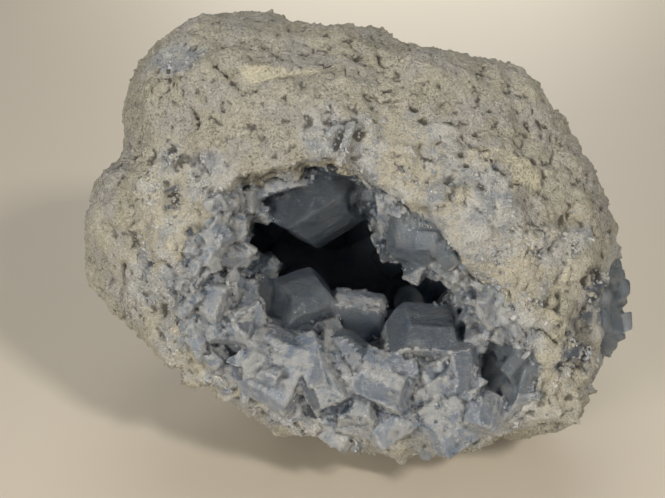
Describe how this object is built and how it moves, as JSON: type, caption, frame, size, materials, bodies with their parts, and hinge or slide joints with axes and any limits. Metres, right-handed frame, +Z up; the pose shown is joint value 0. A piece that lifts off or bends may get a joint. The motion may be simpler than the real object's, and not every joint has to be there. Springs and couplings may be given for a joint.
{
  "type": "celestite geode",
  "caption": "Egg-shaped limestone nodule, broken open at the front, its hollow lined with blocky blue-grey celestite crystals; rests on a small flat spot.",
  "frame": {"origin": "on the surface it rests on, under the middle of its bounding box", "axes": "+Z up, -Y towards the viewer and the broken face, +X to the viewer's right along the longest side"},
  "size_m": [0.2642, 0.2042, 0.2145],
  "materials": {
    "marly_limestone": "dull, granular, chalky",
    "celestite": "vitreous, frosted and cloudy in places"
  },
  "bodies": {
    "root": {"rock_matrix": "marly_limestone", "celestite_crust": "celestite", "flank_celestite": "celestite"}
  },
  "joints": []
}
